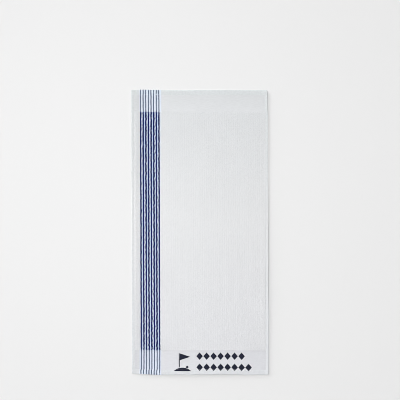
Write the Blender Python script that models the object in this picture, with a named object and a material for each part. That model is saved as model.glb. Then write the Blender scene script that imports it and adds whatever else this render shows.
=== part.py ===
"""A caddy's golf towel, laid flat: a ribbed terry body between two flat-woven bands, hemmed all round.

Metres, +Z up. The towel lies face up on the plane z = 0, with its middle over the origin. X is its width
and Y its length: the warp stripes are on the -X side, and the band that carries the motif is at -Y.
The hems turn under, so each band spans its hem's flap, and a hem's round bead closes every outer edge.
"""

import math

import bmesh
import bpy

# Driving dimensions of the whole towel.
WIDTH = 0.508
LENGTH = 1.067
HEADER_LENGTH = 0.0815
FOOTER_LENGTH = 0.0910
GAP = 0.0003

# Layers, from the surface that the towel lies on.
FLAP_THICKNESS = 0.0010
BAND_THICKNESS = 0.0012
PILE_RISE = 0.0007
STRIPE_RISE = 0.0004
GROOVE_DEPTH = 0.0008
BAND_LOW = FLAP_THICKNESS + GAP
BAND_TOP = BAND_LOW + BAND_THICKNESS
PILE_TOP = BAND_TOP + PILE_RISE
GROOVE_FLOOR = BAND_TOP - GROOVE_DEPTH
INLAY_LOW = GROOVE_FLOOR + GAP

# Hems: a flap under each edge, and the round bead that the fold makes.
SIDE_HEM = 0.0120
END_HEM = 0.0200
BEAD = 0.0015
BEAD_ROUND = 0.0009
BEAD_STEPS = 4
PILE_MARGIN = 0.0135
PILE_SLOPE = 0.0006

# Warp stripes. They are wide where they form pile, and narrow in the flat bands.
STRIPES = 8
FIRST_STRIPE = 0.0345
STRIPE_PITCH = 0.0097
PILE_STRIPE = 0.0054
BAND_STRIPE = 0.0033
STRIPE_TAPER = 0.0010

# Hem stitching, measured in from the outer edge.
THREAD_RADIUS = 0.00035
SIDE_STITCH = 0.0105
END_STITCH = 0.0190
THREAD_END = 0.0030
THREAD_CLEARANCE = 0.0010

# The motif, measured from the towel's lower left corner.
FLAG_MIDDLE = (0.187, 0.047)
FLAG_HALF_HEIGHT = 0.033
POLE_WIDTH = 0.0040
POLE_OFFSET = -0.012
PENNANT = (0.038, 0.025)
GREEN_WIDTH = 0.066
GREEN_HEIGHT = 0.013
BALL_RADIUS = 0.0045
BALL_OFFSET = 0.018
ROW_START = 0.238
ROW_HEIGHTS = {"upper": 0.0693, "lower": 0.0276}
ROW_COUNTS = {"upper": 7, "lower": 8}
DIAMOND_PITCH = 0.0262
DIAMOND = (0.0246, 0.0280)

# Where the bands meet the body, along Y.
HEADER_SEAM = LENGTH / 2 - HEADER_LENGTH
FOOTER_SEAM = FOOTER_LENGTH - LENGTH / 2

WHITE_TERRY = (0.80, 0.83, 0.85)
WHITE_WEAVE = (0.77, 0.80, 0.82)
WHITE_HEM = (0.75, 0.78, 0.80)
WHITE_THREAD = (0.85, 0.87, 0.88)
NAVY_YARN = (0.012, 0.025, 0.130)
NAVY_MOTIF = (0.008, 0.010, 0.035)


def clear_scene():
    for obj in list(bpy.data.objects):
        bpy.data.objects.remove(obj, do_unlink=True)


def cloth_material(name, colour, roughness):
    material = bpy.data.materials.new(name)
    material.use_nodes = True
    shader = material.node_tree.nodes["Principled BSDF"]
    shader.inputs["Base Color"].default_value = (*colour, 1.0)
    shader.inputs["Roughness"].default_value = roughness
    shader.inputs["Metallic"].default_value = 0.0
    return material


def add_object(name, data, material):
    data.materials.append(material)
    obj = bpy.data.objects.new(name, data)
    bpy.context.collection.objects.link(obj)
    return obj


def solid(name, sections, material):
    """A closed mesh through equal rings of points, with a flat cap on the first ring and the last."""
    shape = bmesh.new()
    rings = [[shape.verts.new(point) for point in ring] for ring in sections]
    count = len(rings[0])
    for ring, following in zip(rings, rings[1:]):
        for i in range(count):
            j = (i + 1) % count
            shape.faces.new((ring[i], ring[j], following[j], following[i]))
    shape.faces.new(rings[0])
    shape.faces.new(rings[-1])
    bmesh.ops.recalc_face_normals(shape, faces=shape.faces)
    mesh = bpy.data.meshes.new(name)
    shape.to_mesh(mesh)
    shape.free()
    return add_object(name, mesh, material)


def along_y(name, profile, low_y, high_y, material):
    """The solid that an outline in X and Z sweeps from low_y to high_y."""
    return solid(name, [[(x, y, z) for x, z in profile] for y in (low_y, high_y)], material)


def upright(name, outline, low_z, high_z, material):
    """The solid that an outline in X and Y sweeps from low_z to high_z."""
    return solid(name, [[(x, y, z) for x, y in outline] for z in (low_z, high_z)], material)


def stripe_middles():
    return [FIRST_STRIPE + i * STRIPE_PITCH - WIDTH / 2 for i in range(STRIPES)]


def grooves(top, stripe_width):
    """The points of a top edge, from -X to +X, as it dips under each stripe."""
    half = stripe_width / 2 + GAP
    points = []
    for middle in stripe_middles():
        points += [(middle - half, top), (middle - half, GROOVE_FLOOR)]
        points += [(middle + half, GROOVE_FLOOR), (middle + half, top)]
    return points


def terry_body(material):
    """The pile field, thinned at both sides, where the side hems turn under it and are sewn through."""
    half = WIDTH / 2 - BEAD - GAP
    between_hems = WIDTH / 2 - SIDE_HEM - GAP
    pile_foot = WIDTH / 2 - PILE_MARGIN
    pile_edge = pile_foot - PILE_SLOPE
    profile = [(-half, BAND_TOP), (-pile_foot, BAND_TOP), (-pile_edge, PILE_TOP)]
    profile += grooves(PILE_TOP, PILE_STRIPE)
    profile += [(pile_edge, PILE_TOP), (pile_foot, BAND_TOP), (half, BAND_TOP)]
    profile += [(half, BAND_LOW), (between_hems, BAND_LOW), (between_hems, 0)]
    profile += [(-between_hems, 0), (-between_hems, BAND_LOW), (-half, BAND_LOW)]
    return along_y("terry_body", profile, FOOTER_SEAM + GAP / 2, HEADER_SEAM - GAP / 2, material)


def flat_band(name, low_y, high_y, material):
    half = WIDTH / 2 - BEAD - GAP
    profile = [(-half, BAND_TOP), *grooves(BAND_TOP, BAND_STRIPE), (half, BAND_TOP)]
    profile += [(half, BAND_LOW), (-half, BAND_LOW)]
    return along_y(name, profile, low_y, high_y, material)


def warp_stripe(name, middle, material):
    """One group of dyed warp yarns, from end to end: narrow, then wide and proud in the pile, then narrow."""
    end = LENGTH / 2 - BEAD - 2 * GAP
    stations = [
        (-end, BAND_STRIPE, BAND_TOP),
        (FOOTER_SEAM + STRIPE_TAPER, BAND_STRIPE, BAND_TOP),
        (FOOTER_SEAM + 2 * STRIPE_TAPER, PILE_STRIPE, PILE_TOP + STRIPE_RISE),
        (HEADER_SEAM - 2 * STRIPE_TAPER, PILE_STRIPE, PILE_TOP + STRIPE_RISE),
        (HEADER_SEAM - STRIPE_TAPER, BAND_STRIPE, BAND_TOP),
        (end, BAND_STRIPE, BAND_TOP),
    ]
    rings = []
    for y, width, top in stations:
        left, right = middle - width / 2, middle + width / 2
        rings.append([(left, y, INLAY_LOW), (right, y, INLAY_LOW), (right, y, top), (left, y, top)])
    return solid(name, rings, material)


def quarter_round(middle_depth, middle_z, start_degrees):
    """Points of a quarter turn of the bead, as distances in from the edge and heights."""
    points = []
    for step in range(BEAD_STEPS + 1):
        angle = math.radians(start_degrees + 90 * step / BEAD_STEPS)
        depth = middle_depth + BEAD_ROUND * math.cos(angle)
        points.append((depth, middle_z + BEAD_ROUND * math.sin(angle)))
    return points


def hem_profile(hem_width):
    """The turned edge in section: the flap underneath, and the bead outside it, up to the face."""
    profile = [(BEAD, BAND_TOP), *quarter_round(BEAD_ROUND, BAND_TOP - BEAD_ROUND, 90)]
    profile += quarter_round(BEAD_ROUND, BEAD_ROUND, 180)
    profile += [(hem_width, 0), (hem_width, FLAP_THICKNESS), (BEAD, FLAP_THICKNESS)]
    return profile


def hem(name, outward, hem_width, material):
    """A hem along one edge, mitred at both corners. outward is the edge's direction from the middle."""
    out_x, out_y = outward
    to_edge, half_run = (WIDTH / 2, LENGTH / 2) if out_x else (LENGTH / 2, WIDTH / 2)
    rings = []
    for end in (-1, 1):
        ring = []
        for depth, z in hem_profile(hem_width):
            out = to_edge - depth
            along = end * (half_run - depth - GAP)
            ring.append((out_x * out - out_y * along, out_y * out + out_x * along, z))
        rings.append(ring)
    return solid(name, rings, material)


def stitching(name, start, finish, material):
    """A line of sewing thread, which lies on the face along a hem."""
    curve = bpy.data.curves.new(name, "CURVE")
    curve.dimensions = "3D"
    curve.bevel_depth = THREAD_RADIUS
    curve.bevel_resolution = 1
    curve.use_fill_caps = True
    line = curve.splines.new("POLY")
    line.points.add(1)
    height = BAND_TOP + GAP + THREAD_RADIUS
    line.points[0].co = (*start, height, 1)
    line.points[1].co = (*finish, height, 1)
    return add_object(name, curve, material)


def all_stitching(material):
    across = WIDTH / 2 - THREAD_END
    side = WIDTH / 2 - SIDE_STITCH
    end = LENGTH / 2 - END_STITCH
    side_end = end - THREAD_RADIUS - THREAD_CLEARANCE
    stitching("top_hem_stitching", (-across, end), (across, end), material)
    stitching("bottom_hem_stitching", (-across, -end), (across, -end), material)
    stitching("left_hem_stitching", (-side, -side_end), (-side, side_end), material)
    stitching("right_hem_stitching", (side, -side_end), (side, side_end), material)


def from_corner(x, y):
    return (x - WIDTH / 2, y - LENGTH / 2)


def rectangle(left, bottom, right, top):
    return [(left, bottom), (right, bottom), (right, top), (left, top)]


def arc(middle, radius, start_degrees, end_degrees, steps):
    points = []
    for step in range(steps + 1):
        angle = math.radians(start_degrees + (end_degrees - start_degrees) * step / steps)
        points.append((middle[0] + radius * math.cos(angle), middle[1] + radius * math.sin(angle)))
    return points


def flag_outlines():
    """The pennant on its pole, over a low green with a ball on it."""
    middle_x, middle_y = from_corner(*FLAG_MIDDLE)
    bottom, top = middle_y - FLAG_HALF_HEIGHT, middle_y + FLAG_HALF_HEIGHT
    green_top = bottom + GREEN_HEIGHT
    pole_left = middle_x + POLE_OFFSET - POLE_WIDTH / 2
    pole_right = pole_left + POLE_WIDTH
    piece_gap = 4 * GAP
    half = GREEN_WIDTH / 2
    radius = (half**2 + GREEN_HEIGHT**2) / (2 * GREEN_HEIGHT)
    half_angle = math.degrees(math.asin(half / radius))
    mound_middle = (middle_x, green_top - radius)
    ball_x = middle_x + BALL_OFFSET
    ball_y = mound_middle[1] + math.sqrt(radius**2 - BALL_OFFSET**2) + BALL_RADIUS + piece_gap
    pennant_left = pole_right + piece_gap
    return {
        "motif_flag_pole": rectangle(pole_left, green_top + piece_gap, pole_right, top),
        "motif_pennant": [
            (pennant_left, top - PENNANT[1]),
            (pennant_left + PENNANT[0], top - PENNANT[1] / 2),
            (pennant_left, top),
        ],
        "motif_green": arc(mound_middle, radius, 90 - half_angle, 90 + half_angle, 16),
        "motif_ball": arc((ball_x, ball_y), BALL_RADIUS, 0, 345, 23),
    }


def diamond_outlines():
    half_width, half_height = DIAMOND[0] / 2, DIAMOND[1] / 2
    outlines = {}
    for row, count in ROW_COUNTS.items():
        for i in range(count):
            x, y = from_corner(ROW_START + (i + 0.5) * DIAMOND_PITCH, ROW_HEIGHTS[row])
            outlines[f"motif_diamond_{row}_{i + 1}"] = [
                (x - half_width, y),
                (x, y - half_height),
                (x + half_width, y),
                (x, y + half_height),
            ]
    return outlines


def grown(outline, amount):
    """The outline, which runs anticlockwise, with every side moved outwards by amount."""
    normals = []
    for (x0, y0), (x1, y1) in zip(outline, outline[1:] + outline[:1]):
        length = math.hypot(x1 - x0, y1 - y0)
        normals.append(((y1 - y0) / length, (x0 - x1) / length))
    points = []
    for i, (x, y) in enumerate(outline):
        before, after = normals[i - 1], normals[i]
        reach = amount / (1 + before[0] * after[0] + before[1] * after[1])
        points.append((x + reach * (before[0] + after[0]), y + reach * (before[1] + after[1])))
    return points


def cut_pocket(band, name, outline, material):
    """Lets an inlaid piece of the motif into the band, with room all round it."""
    cutter = upright(f"{name}_pocket", grown(outline, GAP), GROOVE_FLOOR, PILE_TOP, material)
    cutter.hide_render = True
    cutter.display_type = "WIRE"
    cut = band.modifiers.new(f"{name}_pocket", "BOOLEAN")
    cut.operation = "DIFFERENCE"
    cut.solver = "EXACT"
    cut.object = cutter


def inlaid_motif(band, material):
    for name, outline in {**flag_outlines(), **diamond_outlines()}.items():
        upright(name, outline, INLAY_LOW, BAND_TOP, material)
        cut_pocket(band, name, outline, material)


def build():
    clear_scene()
    terry_body(cloth_material("white_terry", WHITE_TERRY, 0.95))
    weave = cloth_material("white_flat_weave", WHITE_WEAVE, 0.85)
    end = LENGTH / 2 - BEAD - GAP
    flat_band("header_band", HEADER_SEAM + GAP / 2, end, weave)
    footer = flat_band("footer_band", -end, FOOTER_SEAM - GAP / 2, weave)
    yarn = cloth_material("navy_stripe_yarn", NAVY_YARN, 0.90)
    for number, middle in enumerate(stripe_middles(), 1):
        warp_stripe(f"warp_stripe_{number}", middle, yarn)
    turned = cloth_material("white_hem", WHITE_HEM, 0.85)
    hem("top_hem", (0, 1), END_HEM, turned)
    hem("bottom_hem", (0, -1), END_HEM, turned)
    hem("left_hem", (-1, 0), SIDE_HEM, turned)
    hem("right_hem", (1, 0), SIDE_HEM, turned)
    all_stitching(cloth_material("sewing_thread", WHITE_THREAD, 0.70))
    inlaid_motif(footer, cloth_material("navy_motif_yarn", NAVY_MOTIF, 0.80))


build()
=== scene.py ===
"""The looks of a caddy's golf towel, laid flat and face up: one woven cloth with its hems, warp stripes,
sewing and woven motif. Metres, +Z up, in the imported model's own frame.

Each cloth zone, hem, stripe, seam and motif piece is its own object. They are all made in the towel's flat
coordinates, and then laid together by lay(), so that everything on the cloth follows the cloth.
"""

import math

import bpy
import numpy as np
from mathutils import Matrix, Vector


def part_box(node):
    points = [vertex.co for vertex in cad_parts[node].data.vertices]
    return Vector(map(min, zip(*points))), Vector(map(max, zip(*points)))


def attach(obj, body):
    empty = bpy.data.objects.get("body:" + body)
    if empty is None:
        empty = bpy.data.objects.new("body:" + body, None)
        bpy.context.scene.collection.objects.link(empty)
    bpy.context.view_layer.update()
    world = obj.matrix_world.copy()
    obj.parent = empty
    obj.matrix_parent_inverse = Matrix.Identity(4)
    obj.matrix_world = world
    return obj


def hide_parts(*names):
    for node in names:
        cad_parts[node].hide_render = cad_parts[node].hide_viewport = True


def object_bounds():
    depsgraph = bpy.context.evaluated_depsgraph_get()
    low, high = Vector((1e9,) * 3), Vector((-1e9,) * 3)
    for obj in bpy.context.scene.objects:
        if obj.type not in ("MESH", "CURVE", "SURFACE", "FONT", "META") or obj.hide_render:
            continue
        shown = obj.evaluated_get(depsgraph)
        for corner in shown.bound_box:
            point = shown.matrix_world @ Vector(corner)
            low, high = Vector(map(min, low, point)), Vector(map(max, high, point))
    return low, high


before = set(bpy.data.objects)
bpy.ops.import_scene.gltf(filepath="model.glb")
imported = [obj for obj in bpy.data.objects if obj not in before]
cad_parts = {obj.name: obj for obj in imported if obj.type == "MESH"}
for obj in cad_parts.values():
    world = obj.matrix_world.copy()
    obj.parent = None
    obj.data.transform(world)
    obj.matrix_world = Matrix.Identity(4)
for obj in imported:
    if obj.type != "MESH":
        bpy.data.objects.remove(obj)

MM = 0.001
CAD_LOW, CAD_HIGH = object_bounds()

# ---------------------------------------------------------------- sizes from the frame

HALF_WIDTH = CAD_HIGH.x
HALF_LENGTH = CAD_HIGH.y
FOOTER_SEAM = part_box("terry_body")[0].y
HEADER_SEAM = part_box("terry_body")[1].y
PILE_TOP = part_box("terry_body")[1].z
BAND_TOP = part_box("header_band")[1].z
SIDE_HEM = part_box("left_hem")[1].x - CAD_LOW.x
END_HEM = CAD_HIGH.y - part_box("top_hem")[0].y


def box_middle(node):
    low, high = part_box(node)
    return (low + high) / 2


SIDE_LINE = -box_middle("left_hem_stitching").x
END_LINE = box_middle("top_hem_stitching").y
STRIPE_NODES = sorted(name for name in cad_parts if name.startswith("warp_stripe_"))
STRIPE_MIDDLES = [box_middle(name).x for name in STRIPE_NODES]
STRIPE_PITCH = (STRIPE_MIDDLES[-1] - STRIPE_MIDDLES[0]) / (len(STRIPE_MIDDLES) - 1)
MOTIF_NODES = sorted(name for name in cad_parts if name.startswith("motif_"))

FIELD_LENGTH = HEADER_SEAM - FOOTER_SEAM
SIDE_SEAM_DEPTH = HALF_WIDTH - SIDE_LINE
END_SEAM_DEPTH = HALF_LENGTH - END_LINE

# ---------------------------------------------------------------- sizes of the cloth's own structure

# The terry. Its lengthways ribs are called wales, and a faint wider rhythm of shade runs across them.
WALES_PER_PITCH = 4
WALE = STRIPE_PITCH / WALES_PER_PITCH
WALE_GROUP = 8.3 * MM
WALE_ROUNDING = 0.8
FIELD_ROW = 5.2 * MM
PILE_VALLEY = 2.45 * MM
LUMPS = 0.15 * MM
LOOP_CELL = 1.5 * MM
MARGIN = 2.2 * MM
PILE_SHOULDER = 12 * MM
EDGE_DROP = 0.12 * MM
BACK_RIB = 0.45 * MM
BACK_LUMPS = 0.15 * MM

# The flat-woven bands, and how far out the hems and the pile still hold them up.
BAND_ROW = 1.6 * MM
BAND_COLUMN = 2.0 * MM
CLOTH = 1.1 * MM
BAND_SAG = 0.5 * MM
SIDE_HOLD = 11 * MM
END_HOLD = 12 * MM
PILE_HOLD = 9 * MM
PILE_HOLD_SHARE = 0.75

# The hems. A seam draws the cloth down along its line, and each stitch puckers it.
UNDERSIDE = 0.15 * MM
HEM_MIDDLE = (BAND_TOP + UNDERSIDE) / 2
HEM_HALF = (BAND_TOP - UNDERSIDE) / 2
FOLD_INSIDE = 0.12 * MM
FOLD_STEPS = 8
FACE_POINTS = 10
FLAP_POINTS = 5
BACK_POINTS = 4
FLAP_ROUND = 0.5 * MM
TIP_RADIUS = 1.2 * MM
HEM_PUFF = 0.12 * MM
SEAM_DIP = 0.12 * MM
SEAM_DIP_WIDTH = 0.9 * MM
PUCKER = 0.10 * MM
PUCKER_WIDTH = 2.2 * MM
RIPPLE = 0.10 * MM
RIPPLE_ALONG = 0.0083
RIPPLE_DEPTH = 0.004
RIPPLE_BEAT = 0.031
NEAR_FACE = 0.05 * MM
CORNER_LIFT = 0.35 * MM
CORNER_EASE = 2 * MM
TIP_THINNEST = 0.02

# The sewing. A scatter is a standard deviation, here and below.
STITCH_PITCH = 3.2 * MM
STITCH_LENGTH = 2.7 * MM
STITCH_RADIUS = 0.27 * MM
STITCH_DEPTH = 0.30 * MM
STITCH_RISE = 0.54 * MM
STITCH_SCATTER = 0.05 * MM
STITCH_SLANT = 0.05
SLANT_SCATTER = 0.03
END_SEAM_SHORT = 2.5 * MM
SIDE_SEAM_SHORT = 1.5 * MM
STITCH_STATIONS = 7
STITCH_SIDES = 6

# The loops of the stripes and of the white gaps between them. They stand on a bed on the bare ground.
GROUND = 1.9 * MM
LOOP_PITCH = 1.9 * MM
LOOP_SPAN = 1.9 * MM
LOOP_RADIUS = 0.46 * MM
LOOP_FOOT = 0.25 * MM
LOOP_SIDE_SCATTER = 0.16 * MM
LOOP_ROW_SCATTER = 0.25 * MM
LOOP_LEAN_SCATTER = 0.42 * MM
LOOP_HEIGHT_SCATTER = 0.16 * MM
LOOP_TWIST_SCATTER = 0.6
LOOP_THICKNESS_SCATTER = 0.10
LOOP_STATIONS = 5
LOOP_SIDES = 4
BED_STATIONS = 450
BED_SHARE = 0.85
BED_FACE = GROUND + 0.25 * MM
BED_BACK = GROUND - 0.10 * MM

# The width of a strip of loops, its columns of loops, and their height.
PILE_STRIPE = 5.92 * MM
NAVY_STRIP = (PILE_STRIPE, 4, 1.25 * MM)
WHITE_STRIP = (STRIPE_PITCH - PILE_STRIPE, 3, 1.45 * MM)

# The stripes in the flat bands.
BAND_STRIPE = 4.2 * MM
BAND_YARNS = 4
YARN_COLUMNS = 3
YARN_RISE = 0.10 * MM
YARN_LOW = 0.05 * MM
YARN_SUNK = 0.10 * MM
YARN_STATION = 1.5 * MM
YARN_START = 0.3 * MM
YARN_END = 1 * MM
YARN_WAVER = 0.12 * MM
YARN_WAVE = 6 * MM

# How far a stripe leans sideways at the foot hem, and from where to where it comes to lean.
HEM_LEAN = 1.4 * MM
LEAN_SCATTER = 0.25 * MM
LEAN_BEFORE = 4 * MM
LEAN_RUN = 12 * MM

# The motif.
TO_POLE = 1.1 * MM
FLOAT_LENGTH = 2.6 * MM
FLOAT_FOOT = 0.02 * MM
FLOAT_RISE = 0.16 * MM
FLOAT_HALF = 0.22 * MM
FLOAT_SHIFT = 0.37
FLOAT_TAPER = 0.3 * MM
FLOAT_TIP = 0.35
PICK = 0.8 * MM
PICK_FILL = 0.54
PICK_SIDES = 6

rng = np.random.default_rng(20)


# ---------------------------------------------------------------- how the towel lies

# It lies slightly askew: it leans sideways along its length, the left corner of the foot is drawn up, and
# the right half of the header is drawn in by a small share.
CORNER_ROUND = 5.0 * MM
SIDE_LEAN = 1.9 * MM
CORNER_DRAW = 3.2 * MM
HEADER_PULL = 0.004
HEADER_EASE = 20 * MM
EDGE_WANDER = 0.7 * MM

# How far the cloth has crept sideways, at places across it.
RIGHT_PANEL = HALF_WIDTH - 30 * MM
SPREAD_PLACES = (-HALF_WIDTH, STRIPE_MIDDLES[0], STRIPE_MIDDLES[-1], 0.0, RIGHT_PANEL, HALF_WIDTH)
SPREAD = np.array([-2.1, -1.4, -0.4, 0.0, 0.0, 2.1]) * MM

# Slow swells run through it, and it stands LOFT times as high as the CAD model.
SWELL = 0.75 * MM
SWELL_ACROSS = 0.083
SWELL_ALONG = 0.127
SWELL_SLANT = (0.19, 0.31)
LOFT = 1.15

# Sine waves, each as the length of one radian, a phase and a weight.
SIDE_WAVES = ((0.061, 0.7, 1.0), (0.023, 2.1, 0.6))
END_WAVES = ((0.052, 0.4, 1.0), (0.017, 1.2, 0.5))


def smooth(share):
    share = np.clip(share, 0.0, 1.0)
    return share * share * (3.0 - 2.0 * share)


def bell(distance, width):
    return np.exp(-((distance / width) ** 2))


def wavy(place, waves):
    return sum(weight * np.sin(place / length + phase) for length, phase, weight in waves)


def rounded_corners(x, y):
    """Pulls the square corners in to a small radius."""
    over_x = np.maximum(np.abs(x) - (HALF_WIDTH - CORNER_ROUND), 0.0)
    over_y = np.maximum(np.abs(y) - (HALF_LENGTH - CORNER_ROUND), 0.0)
    reach = np.hypot(over_x, over_y)
    share = np.where(reach > 0, np.maximum(over_x, over_y) / np.maximum(reach, 1e-9), 1.0)
    x = x - np.sign(x) * over_x * (1.0 - share)
    y = y - np.sign(y) * over_y * (1.0 - share)
    return x, y


def lay(points):
    """Where flat points of the towel come to lie: slightly askew, with soft edges and a faint swell."""
    x, y = rounded_corners(points[:, 0], points[:, 1])
    across, along = x / HALF_WIDTH, y / HALF_LENGTH
    header = smooth((y - HEADER_SEAM) / HEADER_EASE + 0.5)
    laid = np.empty_like(points)
    laid[:, 0] = x - HEADER_PULL * header * np.maximum(x, 0.0) - SIDE_LEAN * along
    laid[:, 0] += 0.5 * EDGE_WANDER * np.abs(across) ** 3 * wavy(y, SIDE_WAVES)
    laid[:, 0] += np.interp(x, SPREAD_PLACES, SPREAD)
    laid[:, 1] = y + CORNER_DRAW * np.maximum(-across, 0.0) ** 5 * (1.0 - along) / 2
    laid[:, 1] += EDGE_WANDER * np.abs(along) ** 5 * wavy(x, END_WAVES)
    swell = np.sin(x / SWELL_ACROSS + 1.3) * np.sin(y / SWELL_ALONG + 0.4)
    swell = swell + np.sin(x / SWELL_SLANT[0] - y / SWELL_SLANT[1])
    laid[:, 2] = LOFT * points[:, 2] + SWELL * (2.0 + swell)
    return laid


def band_face(x, y):
    """Height of the flat-woven face: held up by the hems and the pile, and sagging between them."""
    to_side = np.maximum(SIDE_LINE - np.abs(x), 0.0)
    to_end = np.maximum(END_LINE - np.abs(y), 0.0)
    to_pile = np.minimum(np.abs(y - HEADER_SEAM), np.abs(y - FOOTER_SEAM))
    settled = (1 - bell(to_side, SIDE_HOLD)) * (1 - bell(to_end, END_HOLD))
    settled = settled * (1 - PILE_HOLD_SHARE * bell(to_pile, PILE_HOLD))
    into_hem = np.clip((np.abs(y) - END_LINE) / (HALF_LENGTH - END_LINE), 0.0, 1.0)
    height = BAND_TOP - BAND_SAG * settled + HEM_PUFF * np.sin(math.pi * into_hem)
    dips = bell(SIDE_LINE - np.abs(x), SEAM_DIP_WIDTH) + bell(END_LINE - np.abs(y), SEAM_DIP_WIDTH)
    return height - SEAM_DIP * np.minimum(dips, 1.0)


# ---------------------------------------------------------------- meshes

def add_piece(name, points, faces, material, slot, *nodes, walls=()):
    """One visible piece, in flat coordinates until here. It rides on the towel and stands for its nodes.

    walls numbers the faces of a cloth's cut edges, which stay square to the cloth in the shading too.
    """
    mesh = bpy.data.meshes.new(name)
    mesh.from_pydata(lay(np.asarray(points, float)), [], faces)
    mesh.validate()
    mesh.shade_smooth()
    cut = {key for wall in walls for key in mesh.polygons[wall].edge_keys}
    for edge in mesh.edges if cut else ():
        edge.use_edge_sharp = edge.key in cut
    mesh.materials.append(material)
    piece = bpy.data.objects.new(name, mesh)
    bpy.context.scene.collection.objects.link(piece)
    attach(piece, "root")
    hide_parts(*nodes)
    return piece


def grid_faces(columns, rows, start=0, flip=False):
    """Quads of a grid whose points run along each row first."""
    i, j = np.meshgrid(np.arange(columns - 1), np.arange(rows - 1))
    a = (start + j * columns + i).ravel()
    quads = np.stack([a, a + 1, a + columns + 1, a + columns], axis=1)
    return (quads[:, ::-1] if flip else quads).tolist()


def slab(xs, ys, top, bottom, every):
    """A closed sheet: a fine grid on top, and below it a grid with only each every-th column.

    It returns the points, the faces, and the numbers of the faces round the sheet's edge.
    """
    low_xs = xs[::every]
    points = []
    for columns, height in ((xs, top), (low_xs, bottom)):
        x, y = np.meshgrid(columns, ys)
        points.append(np.stack([x.ravel(), y.ravel(), height(x, y).ravel()], axis=1))
    n, m, rows, base = len(xs), len(low_xs), len(ys), len(xs) * len(ys)
    faces = grid_faces(n, rows) + grid_faces(m, rows, base, flip=True)
    first_wall = len(faces)
    for j in range(rows - 1):
        left, right = j * n, j * n + n - 1
        low_left, low_right = base + j * m, base + j * m + m - 1
        faces.append([left, left + n, low_left + m, low_left])
        faces.append([right + n, right, low_right, low_right + m])
    last_row, low_last_row = (rows - 1) * n, base + (rows - 1) * m
    for i in range(m - 1):
        front = list(range(i * every, (i + 1) * every + 1))
        faces.append([*front[::-1], base + i, base + i + 1])
        faces.append([*(last_row + k for k in front), low_last_row + i + 1, low_last_row + i])
    return np.concatenate(points), faces, range(first_wall, len(faces))


def tube_faces(stations, count):
    """The quads round a tube of rings with count points each, and its two end caps."""
    faces = []
    for first in range(0, (stations - 1) * count, count):
        for i in range(count):
            j = (i + 1) % count
            faces.append([first + i, first + j, first + count + j, first + count + i])
    faces.append(list(range(count))[::-1])
    faces.append([(stations - 1) * count + i for i in range(count)])
    return faces


def sweep(rings):
    """A closed tube through rings of points, given as an array of stations, ring points and 3."""
    stations, count = rings.shape[:2]
    return rings.reshape(-1, 3), tube_faces(stations, count)


def copies(faces, places):
    """Copies of one small mesh. places holds their points, as an array of copies, points and 3."""
    step = places.shape[1]
    shifted = [[k + n * step for k in face] for n in range(len(places)) for face in faces]
    return places.reshape(-1, 3), shifted


def round_ring(sides):
    angles = 2 * math.pi * np.arange(sides) / sides
    return np.cos(angles), np.sin(angles)


# ---------------------------------------------------------------- materials

WHITE = (1.0, 1.0, 1.0)
NAVY_SHEEN = (0.35, 0.45, 0.80)
SHEEN_ROUGHNESS = 0.6
SPECULAR = 0.2

# Noise scales, per metre.
FIBRES = 2600.0
YARN_SHADES = 420.0

# The spacing of the yarns in the flat weave, and how far they waver.
WARP = 0.95 * MM
WEFT = 0.85 * MM
WAVER = 0.3

# The wave texture runs through this many radians in one unit of length at scale 1.
WAVE_RADIANS = 20

# How far beyond the stripes the dye tints the white, and over what distance that fades.
TINT_REACH = 5 * MM
TINT_FADE = 3 * MM


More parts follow.
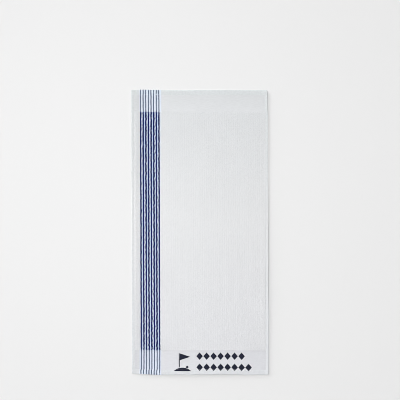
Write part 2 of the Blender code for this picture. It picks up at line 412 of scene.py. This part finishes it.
class Cloth:
    """A Principled cloth material under construction, with short calls for its nodes."""

    def __init__(self, name, roughness, sheen, sheen_tint):
        self.material = bpy.data.materials.new(name)
        self.material.use_nodes = True
        self.tree = self.material.node_tree
        self.shader = self.tree.nodes["Principled BSDF"]
        self.shader.inputs["Roughness"].default_value = roughness
        self.shader.inputs["Sheen Weight"].default_value = sheen
        self.shader.inputs["Sheen Roughness"].default_value = SHEEN_ROUGHNESS
        self.shader.inputs["Sheen Tint"].default_value = (*sheen_tint, 1.0)
        self.shader.inputs["Specular IOR Level"].default_value = SPECULAR
        self.place = self.tree.nodes.new("ShaderNodeTexCoord").outputs["Object"]

    def node(self, kind, settings=None, **inputs):
        """Adds a node. Its inputs are given by name, or by number as _0, and each is a value or a socket."""
        made = self.tree.nodes.new(kind)
        for key, value in (settings or {}).items():
            setattr(made, key, value)
        for key, value in inputs.items():
            socket = made.inputs[int(key[1:])] if key[1:].isdigit() else made.inputs[key.replace("_", " ")]
            if isinstance(value, bpy.types.NodeSocket):
                self.tree.links.new(value, socket)
            else:
                socket.default_value = value
        return made

    def stretched(self, x, y, z):
        return self.node("ShaderNodeMapping", Vector=self.place, Scale=(x, y, z)).outputs["Vector"]

    def noise(self, scale, detail=2.0, vector=None):
        vector = vector or self.place
        return self.node("ShaderNodeTexNoise", Vector=vector, Scale=scale, Detail=detail).outputs["Fac"]

    def yarns(self, direction, period, wander=0.0):
        """Even ridges across a direction, period apart."""
        settings = {"wave_type": "BANDS", "bands_direction": direction, "wave_profile": "SIN"}
        scale = 2 * math.pi / (WAVE_RADIANS * period)
        made = self.node("ShaderNodeTexWave", settings, Vector=self.place, Scale=scale, Distortion=wander)
        made.inputs["Detail Scale"].default_value = 2.0
        return made.outputs["Fac"]

    def along(self, axis, low, high):
        """Runs from 0 to 1 between two places on an axis."""
        place = self.node("ShaderNodeSeparateXYZ", Vector=self.place).outputs[axis]
        return self.node("ShaderNodeMapRange", Value=place, From_Min=low, From_Max=high).outputs["Result"]

    def drift(self, axis, *stops):
        """A slow change of tone across the towel. Each stop is a share of the way and a tone."""
        start, end = getattr(CAD_LOW, axis.lower()), getattr(CAD_HIGH, axis.lower())
        ramp = self.node("ShaderNodeValToRGB", Fac=self.along(axis, start, end))
        elements = ramp.color_ramp.elements
        for share, _ in stops[1:-1]:
            elements.new(share)
        for element, (_, colour) in zip(elements, stops):
            element.color = (*colour, 1.0)
        return ramp.outputs["Color"]

    def tone(self, foot, middle, head, sides):
        """A slow drift of tone: lengthways, and sideways by the shades in sides, which are painted shade and
        painted light.
        """
        lengthways = self.drift("Y", (0.0, foot), (0.55, middle), (1.0, head))
        sideways = self.drift("X", *((share, (shade,) * 3) for share, shade in sides))
        return self.times(lengthways, sideways)

    def beside_stripes(self):
        """1 across the striped strip of the towel, and 0 elsewhere."""
        first, last = STRIPE_MIDDLES[0] - TINT_REACH, STRIPE_MIDDLES[-1] + TINT_REACH
        left = self.along("X", first - TINT_FADE, first)
        right = self.along("X", last + TINT_FADE, last)
        return self.sum(left, right, "MULTIPLY")

    def times(self, colour, by, share=1.0):
        settings = {"data_type": "RGBA", "blend_type": "MULTIPLY"}
        made = self.node("ShaderNodeMix", settings, _0=share, _6=colour)
        if isinstance(by, bpy.types.NodeSocket):
            self.tree.links.new(by, made.inputs[7])
        else:
            made.inputs[7].default_value = (*by, 1.0)
        return made.outputs[2]

    def cells(self, size):
        """Rounded cells of about a size: 0 in the middle of each, and near 1 between them."""
        settings = {"feature": "SMOOTH_F1"}
        made = self.node("ShaderNodeTexVoronoi", settings, Vector=self.place, Scale=1 / size)
        made.inputs["Smoothness"].default_value = 0.25
        return made.outputs["Distance"]

    def sum(self, first, second, operation="ADD"):
        return self.node("ShaderNodeMath", {"operation": operation}, _0=first, _1=second).outputs[0]

    def blend(self, share, low, high):
        """Runs from the colour low to the colour high as share goes from 0.3 to 0.7."""
        ramp = self.node("ShaderNodeValToRGB", Fac=share)
        ramp.color_ramp.elements[0].position = 0.3
        ramp.color_ramp.elements[1].position = 0.7
        ramp.color_ramp.elements[0].color = (*low, 1.0)
        ramp.color_ramp.elements[1].color = (*high, 1.0)
        return ramp.outputs["Color"]

    def shade(self, share, low, high):
        """Runs from the grey low to the grey high, as blend does."""
        return self.blend(share, (low,) * 3, (high,) * 3)

    def mix(self, share, first, second):
        made = self.node("ShaderNodeMix", {"data_type": "RGBA"}, _0=share, _6=first, _7=second)
        return made.outputs[2]

    def finish(self, colour, height, depth):
        bump = self.node("ShaderNodeBump", Strength=1.0, Distance=depth, Height=height).outputs["Normal"]
        self.tree.links.new(colour, self.shader.inputs["Base Color"])
        self.tree.links.new(bump, self.shader.inputs["Normal"])
        return self.material


# Painted shade and painted light from the left side to the right, each at its share of the width. They
# darken the left margins and hem, which the low window lights, lighten the right hem, which it leaves in
# shade, and paint in a fall of light toward the right.
FIELD_SIDE_PAINTED_LIGHT_AND_SHADE = ((0.0, 0.93), (0.07, 0.945), (0.16, 1.027), (0.55, 1.006), (1.0, 0.978))
BAND_SIDE_PAINTED_LIGHT_AND_SHADE = ((0.0, 0.955), (0.07, 0.96), (0.16, 1.03), (0.55, 1.0), (1.0, 0.975))
HEM_SIDE_PAINTED_LIGHT_AND_SHADE = ((0.0, 0.97), (0.06, 1.03), (0.55, 1.01), (0.94, 1.0), (1.0, 1.06))


def white_terry():
    """White terry seen as a bed of small round loops, with painted light on their tops and painted shade
    between them, and greyer toward the edges, partly by painted shade across the width.
    """
    cloth = Cloth("white_terry_loops", 0.95, 0.10, WHITE)
    # The side shades paint shade and light across the width into the terry's tone.
    colour = cloth.tone((0.812, 0.816, 0.838), (0.835, 0.840, 0.847), (0.760, 0.776, 0.788), FIELD_SIDE_PAINTED_LIGHT_AND_SHADE)
    streaks = cloth.noise(1.0, 3.0, cloth.stretched(230.0, 3.0, 1.0))
    loops = cloth.cells(LOOP_CELL)
    wales = cloth.yarns("X", WALE)
    groups = cloth.yarns("X", WALE_GROUP)
    colour = cloth.times(colour, cloth.shade(streaks, 0.985, 1.015))
    # Painted light on the middle of each loop cell and painted shade in the hollows between the cells.
    colour = cloth.times(colour, cloth.blend(loops, (1.03, 1.03, 1.03), (0.90, 0.905, 0.91)))
    colour = cloth.times(colour, cloth.blend(wales, (0.97, 0.97, 0.972), (1.02, 1.02, 1.02)))
    colour = cloth.times(colour, cloth.shade(groups, 0.989, 1.011))
    colour = cloth.times(colour, (0.96, 1.0, 1.06), cloth.beside_stripes())
    fibre = cloth.sum(cloth.noise(FIBRES), 0.3, "MULTIPLY")
    return cloth.finish(colour, cloth.sum(fibre, loops, "SUBTRACT"), 0.5 * MM)


def white_flat(name, foot, middle, head, sides, slubs, depth):
    """A plain weave of white yarns, with slubs, a trace of the dye beside the stripes, and painted shade and
    painted light across the width from sides.
    """
    cloth = Cloth(name, 0.88, 0.06, WHITE)
    weave = cloth.sum(cloth.yarns("X", WARP, WAVER), cloth.yarns("Y", WEFT, WAVER), "MULTIPLY")
    uneven = cloth.noise(1.0, 2.0, cloth.stretched(*slubs))
    colour = cloth.times(cloth.tone(foot, middle, head, sides), cloth.shade(uneven, 0.965, 1.035))
    colour = cloth.times(colour, (1.03, 1.09, 1.20), cloth.beside_stripes())
    return cloth.finish(colour, cloth.sum(weave, uneven), depth)


def white_weave():
    return white_flat(
        "white_flat_weave",
        foot=(0.682, 0.690, 0.722),
        middle=(0.745, 0.735, 0.760),
        head=(0.673, 0.690, 0.703),
        # Painted shade and painted light across the width.
        sides=BAND_SIDE_PAINTED_LIGHT_AND_SHADE,
        slubs=(60.0, 500.0, 1.0),
        depth=0.12 * MM,
    )


def white_hem():
    return white_flat(
        "white_turned_hem",
        foot=(0.698, 0.714, 0.740),
        middle=(0.702, 0.712, 0.722),
        head=(0.658, 0.686, 0.696),
        # Painted shade and painted light across the width.
        sides=HEM_SIDE_PAINTED_LIGHT_AND_SHADE,
        slubs=(160.0, 160.0, 160.0),
        depth=0.15 * MM,
    )


def white_thread():
    cloth = Cloth("white_sewing_thread", 0.55, 0.10, WHITE)
    twist = cloth.yarns("DIAGONAL", 0.45 * MM)
    # Painted shade in the grooves of the twist: the colour is darker where the twist's bump is low.
    colour = cloth.blend(twist, (0.64, 0.66, 0.68), (0.80, 0.81, 0.82))
    return cloth.finish(colour, twist, 0.08 * MM)


def looped_yarn(name, roughness, sheen, sheen_tint, low, high):
    """Dyed loops, each yarn a little lighter or darker than the next."""
    cloth = Cloth(name, roughness, sheen, sheen_tint)
    colour = cloth.blend(cloth.noise(YARN_SHADES, 3.0), low, high)
    return cloth.finish(colour, cloth.noise(FIBRES), 0.12 * MM)


def tinted_loops():
    """The white loops between the stripes, which have taken up a trace of the dye."""
    low, high = (0.66, 0.765, 1.0), (0.81, 0.89, 1.0)
    return looped_yarn("white_loops_by_the_stripes", 0.95, 0.40, (0.72, 0.85, 1.0), low, high)


def navy_loops():
    low, high = (0.003, 0.008, 0.078), (0.007, 0.019, 0.185)
    return looped_yarn("navy_terry_loops", 0.85, 0.06, NAVY_SHEEN, low, high)


def navy_flat():
    """Navy warp yarns, with the white weft showing where it passes over them."""
    cloth = Cloth("navy_flat_yarns", 0.80, 0.10, NAVY_SHEEN)
    crossing = cloth.sum(cloth.yarns("Y", WEFT), cloth.yarns("X", WARP), "MULTIPLY")
    weft = cloth.sum(crossing, 0.46, "GREATER_THAN")
    navy = cloth.blend(cloth.noise(500.0), (0.026, 0.038, 0.090), (0.048, 0.068, 0.155))
    colour = cloth.mix(weft, navy, (0.50, 0.55, 0.64, 1.0))
    return cloth.finish(colour, crossing, 0.12 * MM)


def navy_motif():
    cloth = Cloth("navy_woven_motif", 0.62, 0.08, (0.5, 0.55, 0.7))
    yarn = cloth.noise(1.0, 2.0, cloth.stretched(120.0, 900.0, 1.0))
    colour = cloth.blend(yarn, (0.006, 0.007, 0.018), (0.016, 0.019, 0.045))
    return cloth.finish(colour, cloth.yarns("DIAGONAL", 0.4 * MM), 0.05 * MM)


# ---------------------------------------------------------------- the terry field

def field_columns():
    """Column places: the flat margins, and between them a valley and a ridge to each wale."""
    inner = SIDE_LINE - MARGIN
    first = math.ceil((-inner - STRIPE_MIDDLES[0]) / WALE)
    last = math.floor((inner - STRIPE_MIDDLES[0]) / WALE)
    wales = STRIPE_MIDDLES[0] + WALE * np.arange(2 * first, 2 * last + 1) / 2
    near = np.array([0.0, 0.7, 1.4]) * MM
    return np.concatenate([near - SIDE_LINE, wales, (SIDE_LINE - near)[::-1]])


def field_rows():
    even = np.linspace(FOOTER_SEAM, HEADER_SEAM, round(FIELD_LENGTH / FIELD_ROW) + 1)
    near = np.array([0.0, 0.5, 1.1, 2.4]) * MM
    return np.concatenate([FOOTER_SEAM + near, even[1:-1], (HEADER_SEAM - near)[::-1]])


def wale_ridge(x):
    """From 0 in the valley between two wales to 1 on the wale."""
    return np.abs(np.sin(math.pi * (x - STRIPE_MIDDLES[0]) / WALE)) ** WALE_ROUNDING


def terry_face(x, y):
    """Height of the terry: a lumpy ridge to each wale, and bare ground under the stripes' own loops."""
    to_side = SIDE_LINE - np.abs(x)
    to_end = np.minimum(y - FOOTER_SEAM, HEADER_SEAM - y)
    height = PILE_VALLEY + (PILE_TOP - PILE_VALLEY) * wale_ridge(x) + rng.normal(0.0, LUMPS, x.shape)
    for distance in (to_side, to_end):
        height = height - EDGE_DROP * (1.0 - smooth(distance / PILE_SHOULDER))
    height = height - SEAM_DIP * bell(to_side, SEAM_DIP_WIDTH)
    almost = 0.99 * WALE
    striped = (x > STRIPE_MIDDLES[0] - almost) & (x < STRIPE_MIDDLES[-1] + almost)
    return np.where(striped, GROUND, height)


def terry_back(x, y):
    return BACK_RIB * (1.0 - wale_ridge(x)) + rng.uniform(0.0, BACK_LUMPS, x.shape)


def terry_field(material):
    points, faces, walls = slab(field_columns(), field_rows(), terry_face, terry_back, every=3)
    return add_piece("terry_field", points, faces, material, "white_terry", "terry_body", walls=walls)


# ---------------------------------------------------------------- the flat-woven bands

def flat_band(name, low_y, high_y, material, node):
    """A sheet of even thickness, with finer columns near its side seams."""
    even = np.linspace(-SIDE_LINE, SIDE_LINE, 2 * round(SIDE_LINE / BAND_COLUMN) + 1)
    near = np.array([0.0, 0.7, 1.5, 2.6]) * MM
    xs = np.concatenate([near - SIDE_LINE, even[3:-3], (SIDE_LINE - near)[::-1]])
    ys = np.linspace(low_y, high_y, round((high_y - low_y) / BAND_ROW) + 1)
    points, faces, walls = slab(xs, ys, band_face, lambda x, y: band_face(x, y) - CLOTH, every=1)
    return add_piece(name, points, faces, material, "white_flat_weave", node, walls=walls)


# ---------------------------------------------------------------- hems

def arc(depth, height, radius, degrees):
    """Points round a centre, as distances in from the edge and heights."""
    return [(depth + radius * math.cos(a), height + radius * math.sin(a)) for a in np.radians(degrees)]


def hem_contour(line_depth, flap_depth):
    """The turned cloth in section, by distance in from the edge and height: face, fold, flap and back."""
    turn = np.linspace(90, 270, FOLD_STEPS + 1)
    face = np.linspace(line_depth, HEM_HALF, FACE_POINTS + 1)[:-1]
    flap = np.linspace(HEM_HALF, flap_depth - FLAP_ROUND, FLAP_POINTS + 1)[1:]
    end_radius = (HEM_MIDDLE - FOLD_INSIDE - UNDERSIDE) / 2
    contour = [(depth, BAND_TOP) for depth in face]
    contour += arc(HEM_HALF, HEM_MIDDLE, HEM_HALF, turn)
    contour += [(depth, UNDERSIDE) for depth in flap]
    contour += arc(flap[-1], UNDERSIDE + end_radius, end_radius, (-45, 0, 45))
    contour += [(depth, HEM_MIDDLE - FOLD_INSIDE) for depth in flap[::-1]]
    contour += arc(HEM_HALF, HEM_MIDDLE, FOLD_INSIDE, turn[::-1][1:-1])
    back = np.linspace(HEM_HALF, line_depth, BACK_POINTS)
    contour += [(depth, HEM_MIDDLE + FOLD_INSIDE) for depth in back]
    return np.array(contour)


def hem_heights(depth, height, along, line_depth):
    """Heights along a hem: the face puffs a little, dips at the seam, and puckers at each stitch."""
    puff = HEM_PUFF * np.sin(math.pi * np.clip(depth / line_depth, 0, 1))
    stitch = np.cos(2 * math.pi * along / STITCH_PITCH)
    pucker = PUCKER * stitch * bell(depth - line_depth, PUCKER_WIDTH)
    ripple = RIPPLE * np.sin(along / RIPPLE_ALONG + depth / RIPPLE_DEPTH) * np.sin(along / RIPPLE_BEAT)
    dip = SEAM_DIP * bell(depth - line_depth, SEAM_DIP_WIDTH)
    on_face = height > BAND_TOP - NEAR_FACE
    return height + on_face * (puff + pucker + ripple - dip)


def end_hem_corners(z, height, along):
    """Lifts an end hem where it lies over the side hems, and rounds it off at its tips."""
    over_side_hem = smooth((np.abs(along) - (HALF_WIDTH - SIDE_HEM)) / CORNER_EASE + 0.5)
    z = z + CORNER_LIFT * over_side_hem * (height > BAND_TOP / 2)
    tip = np.clip((np.abs(along) - (HALF_WIDTH - TIP_RADIUS)) / TIP_RADIUS, 0, 1)
    return HEM_MIDDLE + (z - HEM_MIDDLE) * np.sqrt(np.maximum(1.0 - tip**2, TIP_THINNEST))


def hem(name, outward, half_run, edge, line_depth, flap_depth, material, node):
    """One hem, swept along its edge. outward is the direction out of the towel, in X and Y."""
    contour = hem_contour(line_depth, flap_depth)
    even = np.linspace(-half_run, half_run, 2 * round(2 * half_run / STITCH_PITCH) + 1)
    near = half_run - np.array([0.0, 0.1, 0.3, 0.6]) * MM
    along = np.concatenate([-near, even[1:-1], near[::-1]])[:, None]
    depth, height = contour.T[:, None, :]
    z = hem_heights(depth, height, along, line_depth)
    if outward[1]:
        z = end_hem_corners(z, height, along)
    out = edge - depth
    x = outward[0] * out - outward[1] * along
    y = outward[1] * out + outward[0] * along
    points, faces = sweep(np.stack(np.broadcast_arrays(x, y, z), axis=-1))
    walls = [(station + 1) * len(contour) - 1 for station in range(len(along) - 1)]
    return add_piece(name, points, faces, material, "white_hem", node, walls=walls)


# ---------------------------------------------------------------- sewing

def stitches(name, start, finish, material, node):
    """A row of separate lockstitches, each a short arch of thread whose ends go down into the cloth."""
    start, finish = np.array(start), np.array(finish)
    length = np.linalg.norm(finish - start)
    direction = (finish - start) / length
    side = np.array([-direction[1], direction[0]])
    count = int(length / STITCH_PITCH)
    share = np.linspace(0.0, 1.0, STITCH_STATIONS)
    arch = np.sin(math.pi * share)
    cos, sin = round_ring(STITCH_SIDES)
    thick = (STITCH_RADIUS * (0.55 + 0.45 * arch**0.5))[:, None]
    along = ((share - 0.5) * STITCH_LENGTH)[:, None]
    lift = STITCH_RISE * (arch**0.6)[:, None] - STITCH_DEPTH + thick * sin
    places = []
    for n in range(count):
        middle = start + direction * (n + 0.5) * length / count + side * rng.normal(0, STITCH_SCATTER)
        slant = rng.normal(0, SLANT_SCATTER) + STITCH_SLANT
        aside = thick * cos + slant * along
        flat = middle + along[..., None] * direction + aside[..., None] * side
        height = band_face(flat[..., 0], flat[..., 1]) + lift
        places.append(np.concatenate([flat, height[..., None]], axis=-1).reshape(-1, 3))
    points, faces = copies(tube_faces(STITCH_STATIONS, STITCH_SIDES), np.array(places))
    return add_piece(name, points, faces, material, "sewing_thread", node)


# ---------------------------------------------------------------- warp stripes

STRAY = 0.5 * MM
STRAY_LENGTHS = (0.0041, 0.0023, 0.0083)
STRAY_WEIGHTS = (1.0, 0.7, 0.7)


def wander(seed, y):
    """How far a stripe strays sideways along its length, as its loops lean over together."""
    phases = 7.0 * np.sin(np.arange(1, 4) * 2.9 * seed)
    return STRAY * wavy(y, zip(STRAY_LENGTHS, phases, STRAY_WEIGHTS))


def loop_bed(seed, middle, width):
    """The ground under a stripe's loops, as a thin closed ribbon."""
    y = np.linspace(FOOTER_SEAM, HEADER_SEAM, BED_STATIONS)
    sides = np.array([-0.5, 0.5, 0.5, -0.5]) * width
    heights = np.array([BED_FACE, BED_FACE, BED_BACK, BED_BACK])
    x = middle + wander(seed, y)[:, None] + sides
    return sweep(np.stack(np.broadcast_arrays(x, y[:, None], heights), axis=-1))


def loop_column(middle, seed, offset, stagger, height):
    """One lengthways row of terry loops, each an arch of yarn that leans and turns its own way."""
    rows = int(FIELD_LENGTH / LOOP_PITCH)
    share = np.linspace(0.0, 1.0, LOOP_STATIONS)
    arch = np.sin(math.pi * share) ** 0.7
    along = (share - 0.5) * LOOP_SPAN
    cos, sin = round_ring(LOOP_SIDES)
    y = FOOTER_SEAM + (np.arange(rows) + stagger) * FIELD_LENGTH / rows
    x = (middle + offset + wander(seed, y) + rng.normal(0, LOOP_SIDE_SCATTER, rows))[:, None]
    y = (y + rng.normal(0, LOOP_ROW_SCATTER, rows))[:, None]
    lean = rng.normal(0, LOOP_LEAN_SCATTER, rows)[:, None]
    tall = rng.normal(height, LOOP_HEIGHT_SCATTER, rows)[:, None]
    twist = rng.normal(0, LOOP_TWIST_SCATTER, rows)[:, None]
    radius = (LOOP_RADIUS * rng.normal(1.0, LOOP_THICKNESS_SCATTER, rows))[:, None, None]
    path_x = x + lean * arch + along * np.sin(twist)
    path_y = np.clip(y + along * np.cos(twist), FOOTER_SEAM, HEADER_SEAM)
    path_z = GROUND - LOOP_FOOT + tall * arch
    tilt = np.arctan(np.gradient(path_z, axis=1) / (LOOP_SPAN / (LOOP_STATIONS - 1)))[..., None]
    turn_cos, turn_sin = np.cos(twist)[..., None], np.sin(twist)[..., None]
    back = radius * sin * np.sin(tilt)
    ring_x = path_x[..., None] + radius * cos * turn_cos - back * turn_sin
    ring_y = path_y[..., None] - radius * cos * turn_sin - back * turn_cos
    ring_z = path_z[..., None] + radius * sin * np.cos(tilt)
    return np.stack([ring_x, ring_y, ring_z], axis=-1).reshape(rows, -1, 3)


def loop_stripe(name, seed, middle, strip, material, slot, node):
    """A lengthways strip of terry loops, on their bed."""
    width, columns, height = strip
    places = []
    for column in range(columns):
        offset = (column - (columns - 1) / 2) * width / columns
        places.append(loop_column(middle, seed, offset, 0.25 + 0.5 * (column % 2), height))
    points, faces = copies(tube_faces(LOOP_STATIONS, LOOP_SIDES), np.concatenate(places))
    bed_points, bed_faces = loop_bed(seed, middle, BED_SHARE * width)
    faces += [[k + len(points) for k in face] for face in bed_faces]
    return add_piece(name, np.concatenate([points, bed_points]), faces, material, slot, node)


def around_the_fold(seam):
    """Stations from a band's seam over its fold to the flap's end: y, height, and the way out in Y and Z.

    The height is None on the face, where it is the band's own.
    """
    fold_y = HALF_LENGTH - HEM_HALF
    on_face = np.arange(abs(seam) + YARN_START, fold_y, YARN_STATION)
    under = np.arange(fold_y - YARN_STATION, HALF_LENGTH - END_HEM + YARN_END, -YARN_STATION)
    path = [(y, None, 0.0, 1.0) for y in on_face]
    for angle in np.radians(np.linspace(90, -90, FOLD_STEPS + 1)):
        cos, sin = math.cos(angle), math.sin(angle)
        path.append((fold_y + HEM_HALF * cos, HEM_MIDDLE + HEM_HALF * sin, cos, sin))
    path += [(y, UNDERSIDE, 0.0, -1.0) for y in under]
    return path


def flat_stripe(number, band, middle, seam, material, node):
    """The stripe's yarns in a flat band: along the face, over the fold and under the hem's flap."""
    end = math.copysign(1.0, seam)
    share = np.linspace(0.0, 1.0, YARN_COLUMNS * BAND_YARNS + 1)
    across = (share - 0.5) * BAND_STRIPE
    yarn_top = YARN_LOW + YARN_RISE * np.abs(np.sin(math.pi * BAND_YARNS * share))
    yarn_foot = np.full_like(share, -YARN_SUNK)
    lean = rng.normal(min(end, 0.0) * HEM_LEAN, LEAN_SCATTER)
    rings = []
    for y, z, out_y, out_z in around_the_fold(seam):
        drift = lean * smooth((y - END_LINE + LEAN_BEFORE) / LEAN_RUN)
        x = middle + across + drift + YARN_WAVER * math.sin(y / YARN_WAVE + number)
        height = band_face(x, np.full_like(x, y * end)) if z is None else np.full_like(x, z)
        upper, lower = (
            np.stack([x, end * (y + out_y * proud), height + out_z * proud], axis=1)
            for proud in (yarn_top, yarn_foot)
        )
        rings.append(np.concatenate([upper, lower[::-1]]))
    points, faces = sweep(np.array(rings))
    if end < 0:
        faces = [face[::-1] for face in faces]
    return add_piece(f"stripe_{number}_{band}_yarns", points, faces, material, "navy_stripe_yarn", node)


# ---------------------------------------------------------------- the woven motif

def row_span(node, y):
    """The left and right end of a motif piece at height y, from the piece's own box."""
    low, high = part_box(node)
    middle, half = (low + high) / 2, (high - low) / 2
    up = min(abs(y - middle.y) / half.y, 1.0)
    if "diamond" in node:
        return middle.x - half.x * (1 - up), middle.x + half.x * (1 - up)
    if "pennant" in node:
        return low.x - TO_POLE, low.x + 2 * half.x * (1 - up)
    if "ball" in node:
        reach = half.x * math.sqrt(1 - up * up)
        return middle.x - reach, middle.x + reach
    if "green" in node:
        rise = high.y - low.y
        radius = (half.x**2 + rise**2) / (2 * rise)
        reach = math.sqrt(max(radius**2 - (y - (high.y - radius)) ** 2, 0.0))
        return middle.x - reach, middle.x + reach
    return low.x, high.x


def motif_piece(node, material):
    """Rows of weft yarn, one to each pick, that float over the ground and duck under it in turn."""
    low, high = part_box(node)
    picks = max(round((high.y - low.y) / PICK), 3)
    pitch = (high.y - low.y) / picks
    cos, sin = round_ring(PICK_SIDES)
    points, faces, start = [], [], 0
    for pick in range(picks):
        y = low.y + (pick + 0.5) * pitch
        left, right = row_span(node, y)
        stations = max(int((right - left) / (FLOAT_LENGTH / 4)), 2) + 1
        x = np.linspace(left, right, stations)
        rise = np.abs(np.sin(math.pi * (x / FLOAT_LENGTH + FLOAT_SHIFT * (pick % 3)))) ** 0.5
        ends = np.minimum(1.0, np.minimum(x - left, right - x) / FLOAT_TAPER + FLOAT_TIP)
        lift = band_face(x, np.full_like(x, y)) + (FLOAT_FOOT + FLOAT_RISE * rise) * ends
        ring_y = y + PICK_FILL * pitch * cos * ends[:, None]
        ring_z = lift[:, None] + FLOAT_HALF * sin * ends[:, None]
        rings = np.stack(np.broadcast_arrays(x[:, None], ring_y, ring_z), axis=-1)
        row_points, row_faces = sweep(rings)
        faces += [[k + start for k in face] for face in row_faces]
        points.append(row_points)
        start += len(row_points)
    return add_piece(f"{node}_yarns", np.concatenate(points), faces, material, "navy_motif_yarn", node)


# ---------------------------------------------------------------- the towel

def hems(material):
    """The end hems, which run over the full width, and the side hems, which fit between them."""
    end_sizes = HALF_WIDTH, HALF_LENGTH, END_SEAM_DEPTH, END_HEM
    side_sizes = END_LINE, HALF_WIDTH, SIDE_SEAM_DEPTH, SIDE_HEM
    ends = [
        hem(f"{edge}_hem_fold", (0, outward), *end_sizes, material, f"{edge}_hem")
        for edge, outward in (("top", 1), ("bottom", -1))
    ]
    sides = [
        hem(f"{edge}_hem_fold", (outward, 0), *side_sizes, material, f"{edge}_hem")
        for edge, outward in (("left", -1), ("right", 1))
    ]
    return ends, sides


def seams(material):
    """The rows of stitches along the end hems and the side hems, which stop just short of the corners."""
    across = HALF_WIDTH - END_SEAM_SHORT
    up = END_LINE - SIDE_SEAM_SHORT
    ends = [
        stitches(f"{edge}_hem_stitches", (-across, y), (across, y), material, f"{edge}_hem_stitching")
        for edge, y in (("top", END_LINE), ("bottom", -END_LINE))
    ]
    sides = [
        stitches(f"{edge}_hem_stitches", (x, -up), (x, up), material, f"{edge}_hem_stitching")
        for edge, x in (("left", -SIDE_LINE), ("right", SIDE_LINE))
    ]
    return ends, sides


def stripes(loops, flat):
    """Each warp stripe in three pieces: its loops in the terry, and its yarns in the two flat bands."""
    terry, header, footer = [], [], []
    for number, (middle, node) in enumerate(zip(STRIPE_MIDDLES, STRIPE_NODES), 1):
        name = f"stripe_{number}_terry_loops"
        terry.append(loop_stripe(name, number, middle, NAVY_STRIP, loops, "navy_stripe_yarn", node))
        header.append(flat_stripe(number, "header", middle, HEADER_SEAM, flat, node))
        footer.append(flat_stripe(number, "footer", middle, FOOTER_SEAM, flat, node))
    return terry, header, footer


def gaps(loops):
    """The white loops of the terry between two stripes."""
    pieces = []
    for number, (left, right) in enumerate(zip(STRIPE_MIDDLES, STRIPE_MIDDLES[1:]), 1):
        name = f"gap_{number}_terry_loops"
        seed, middle = number + 0.5, (left + right) / 2
        pieces.append(loop_stripe(name, seed, middle, WHITE_STRIP, loops, "white_terry", "terry_body"))
    return pieces


def build_towel():
    weave = white_weave()
    field = terry_field(white_terry())
    header = flat_band("header_weave", HEADER_SEAM, END_LINE, weave, "header_band")
    footer = flat_band("footer_weave", -END_LINE, FOOTER_SEAM, weave, "footer_band")
    end_hems, side_hems = hems(white_hem())
    end_seams, side_seams = seams(white_thread())
    on_field, on_header, on_footer = stripes(navy_loops(), navy_flat())
    on_field += gaps(tinted_loops())
    motif = navy_motif()
    on_footer += [motif_piece(node, motif) for node in MOTIF_NODES]


# ---------------------------------------------------------------- the studio

VIEW_WIDTH = 1.500
VIEW_MIDDLE = (0.0003, 0.1209)
CAMERA_LENS = 85.0
CAMERA_SENSOR = 36.0
PIXEL_FILTER = 0.75
FLOOR_HALF = 8.0
SUN_DISTANCE = 5


def floor():
    half = FLOOR_HALF
    mesh = bpy.data.meshes.new("floor")
    corners = [(-half, -half, 0), (half, -half, 0), (half, half, 0), (-half, half, 0)]
    mesh.from_pydata(corners, [], [(0, 1, 2, 3)])
    obj = bpy.data.objects.new("floor", mesh)
    bpy.context.scene.collection.objects.link(obj)
    paper = bpy.data.materials.new("pale_paper")
    paper.use_nodes = True
    shader = paper.node_tree.nodes["Principled BSDF"]
    shader.inputs["Base Color"].default_value = (0.80, 0.80, 0.80, 1.0)
    shader.inputs["Roughness"].default_value = 0.9
    shader.inputs["Specular IOR Level"].default_value = 0.1
    mesh.materials.append(paper)


def add_light(name, data, place):
    """Hangs a light at a place, turned to the towel."""
    obj = bpy.data.objects.new(name, data)
    obj.location = place
    obj.rotation_euler = (-Vector(place)).to_track_quat("-Z", "Y").to_euler()
    bpy.context.scene.collection.objects.link(obj)


def broad_light(name, azimuth, elevation, spread, strength):
    """A far-off light as wide as spread, seen from the towel. Its angles are in degrees."""
    data = bpy.data.lights.new(name, "SUN")
    data.energy = strength
    data.angle = math.radians(spread)
    azimuth, elevation = math.radians(azimuth), math.radians(elevation)
    over_floor, height = SUN_DISTANCE * math.cos(elevation), SUN_DISTANCE * math.sin(elevation)
    add_light(name, data, (over_floor * math.cos(azimuth), over_floor * math.sin(azimuth), height))


def near_light(name, place, size, power):
    data = bpy.data.lights.new(name, "AREA")
    data.size = size
    data.energy = power
    add_light(name, data, place)


def room():
    """A dim room with a pale wall all round, seen just above the floor."""
    world = bpy.data.worlds.new("room")
    world.use_nodes = True
    nodes, links = world.node_tree.nodes, world.node_tree.links
    direction = nodes.new("ShaderNodeTexCoord").outputs["Generated"]
    height = nodes.new("ShaderNodeSeparateXYZ")
    wall = nodes.new("ShaderNodeValToRGB")
    wall.color_ramp.elements[0].position = 0.20
    wall.color_ramp.elements[0].color = (0.80, 0.80, 0.80, 1.0)
    wall.color_ramp.elements[1].position = 0.45
    wall.color_ramp.elements[1].color = (0.06, 0.06, 0.06, 1.0)
    links.new(direction, height.inputs["Vector"])
    links.new(height.outputs["Z"], wall.inputs["Fac"])
    links.new(wall.outputs["Color"], nodes["Background"].inputs["Color"])
    bpy.context.scene.world = world


def lights():
    broad_light("ceiling", 90, 88, 70, 1.73)
    broad_light("low_window", 138, 12, 38, 3.05)
    near_light("softbox", (-0.7, 0.30, 2.2), 0.8, 11.6)
    room()


def camera():
    data = bpy.data.cameras.new("camera")
    data.lens = CAMERA_LENS
    data.sensor_width = CAMERA_SENSOR
    obj = bpy.data.objects.new("camera", data)
    height = VIEW_WIDTH * CAMERA_LENS / CAMERA_SENSOR
    obj.location = (*VIEW_MIDDLE, height)
    bpy.context.scene.collection.objects.link(obj)
    bpy.context.scene.camera = obj


build_towel()
floor()
lights()
camera()
bpy.context.scene.view_settings.view_transform = "Standard"
bpy.context.scene.cycles.filter_width = PIXEL_FILTER
